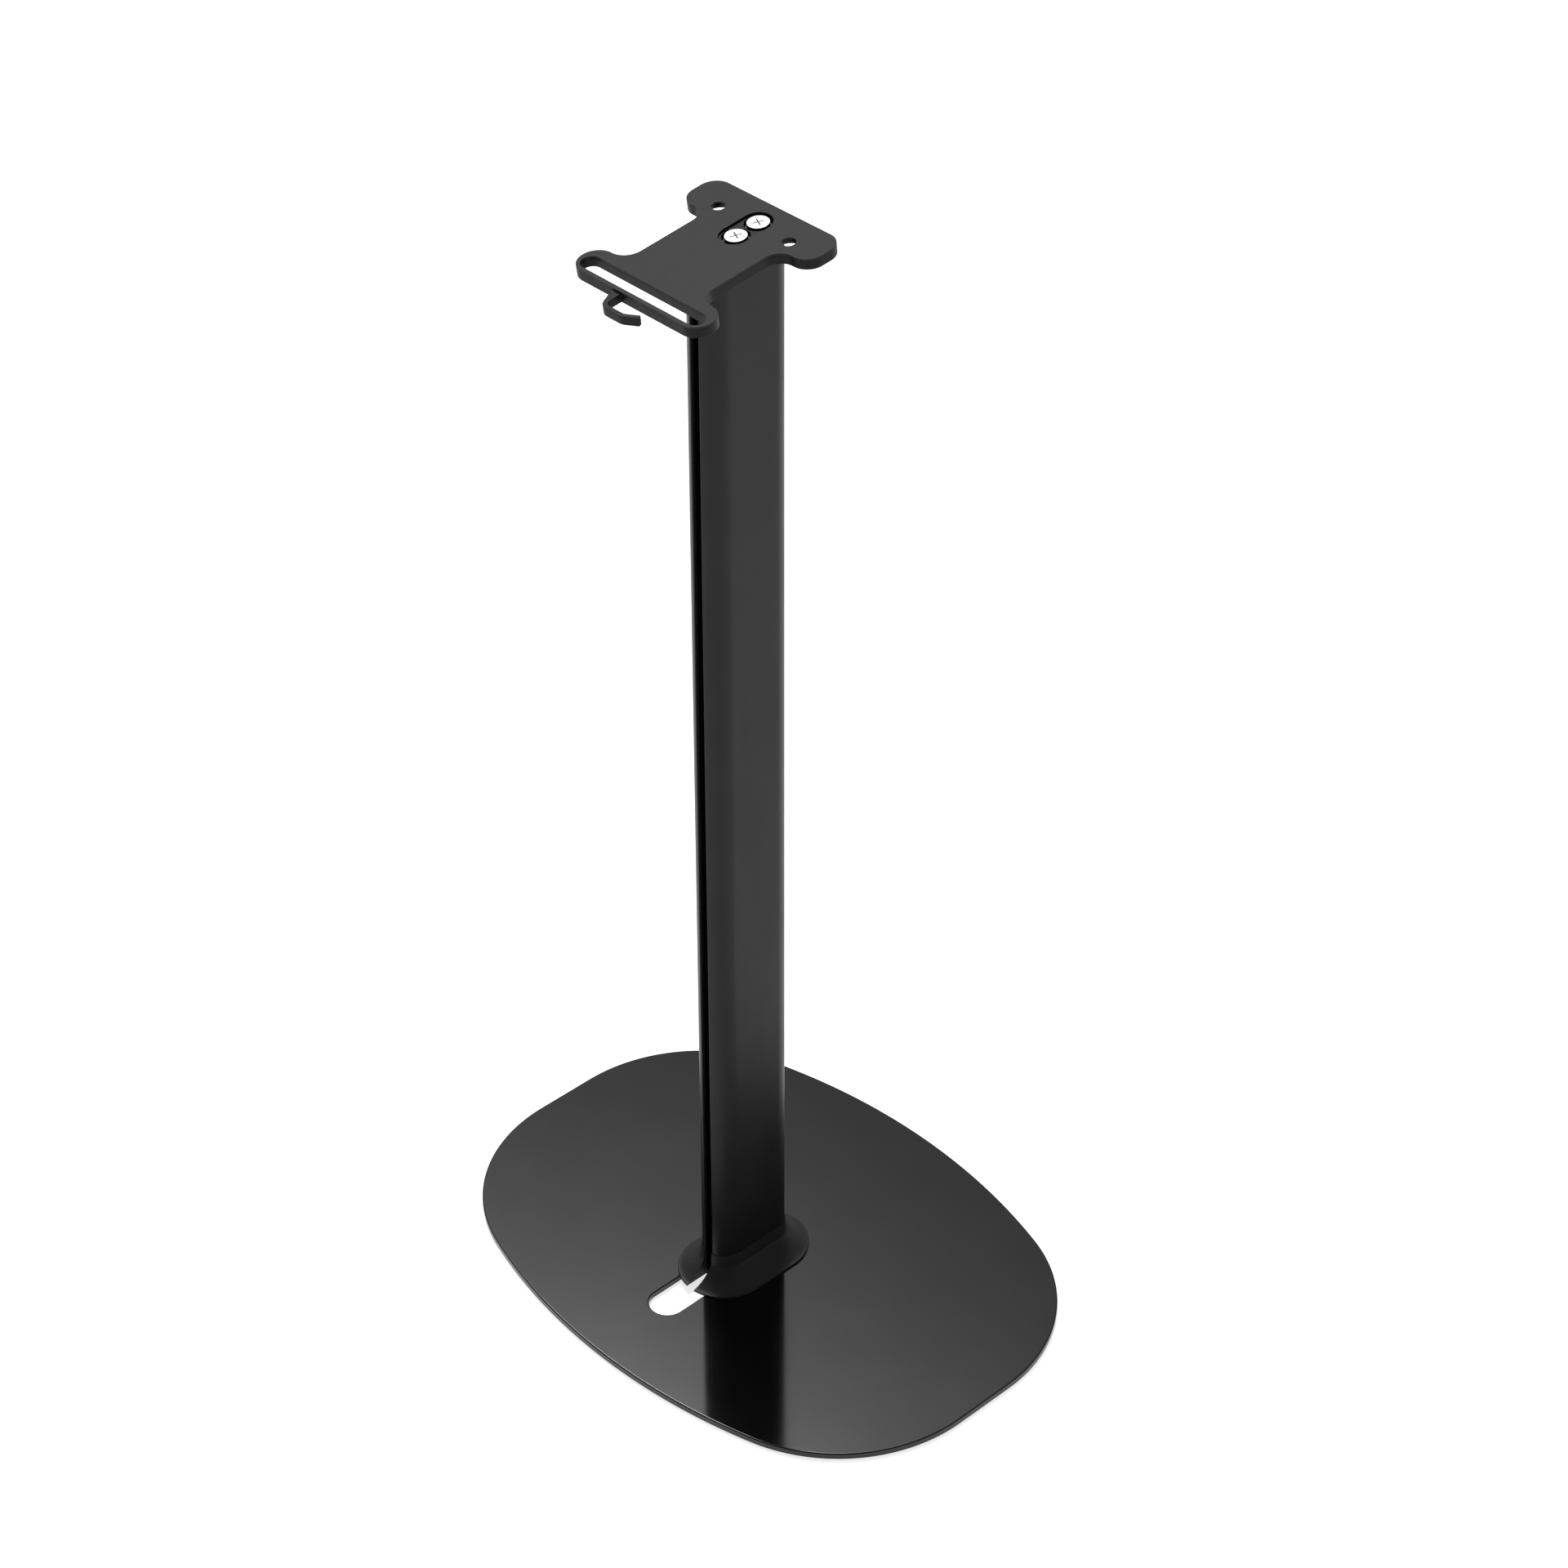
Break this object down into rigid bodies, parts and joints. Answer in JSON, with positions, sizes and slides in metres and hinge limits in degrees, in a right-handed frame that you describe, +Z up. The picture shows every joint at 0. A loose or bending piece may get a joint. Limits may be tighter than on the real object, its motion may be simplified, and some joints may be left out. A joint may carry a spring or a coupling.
{
  "type": "speaker stand",
  "caption": "Floor stand for a small loudspeaker: bowed base plate, slim column with a rear cable channel and a tilted top bracket with cable slot and hook.",
  "frame": {"origin": "on the floor, under the middle of the base plate", "axes": "+Z up the column, -Y towards the front, +Y towards the rear where the cable slit and hook are"},
  "size_m": [0.3712, 0.2708, 0.7015],
  "materials": {
    "base_gloss": "high gloss black lacquer",
    "column_satin": "satin black coating on extruded aluminium",
    "bracket_matte": "fine matte black powder coat",
    "grip_pad": "fine grained matte grip sheet",
    "foot_rubber": "matte rubber",
    "collar_plastic": "finely textured moulded plastic",
    "bright_zinc": "bright zinc plating",
    "dark_steel": "black zinc plating"
  },
  "bodies": {
    "root": {"base_plate": "base_gloss", "base_screw_front": "dark_steel", "base_screw_rear": "dark_steel", "column": "column_satin", "foot_collar": "collar_plastic", "top_bracket": "bracket_matte", "top_pad": "grip_pad", "top_washer_front": "dark_steel", "top_washer_rear": "dark_steel", "top_screw_front": "bright_zinc", "top_screw_rear": "bright_zinc", "foot_pad_1": "foot_rubber", "foot_pad_2": "foot_rubber", "foot_pad_3": "foot_rubber", "foot_pad_4": "foot_rubber", "foot_pad_5": "foot_rubber", "foot_pad_6": "foot_rubber"}
  },
  "joints": []
}
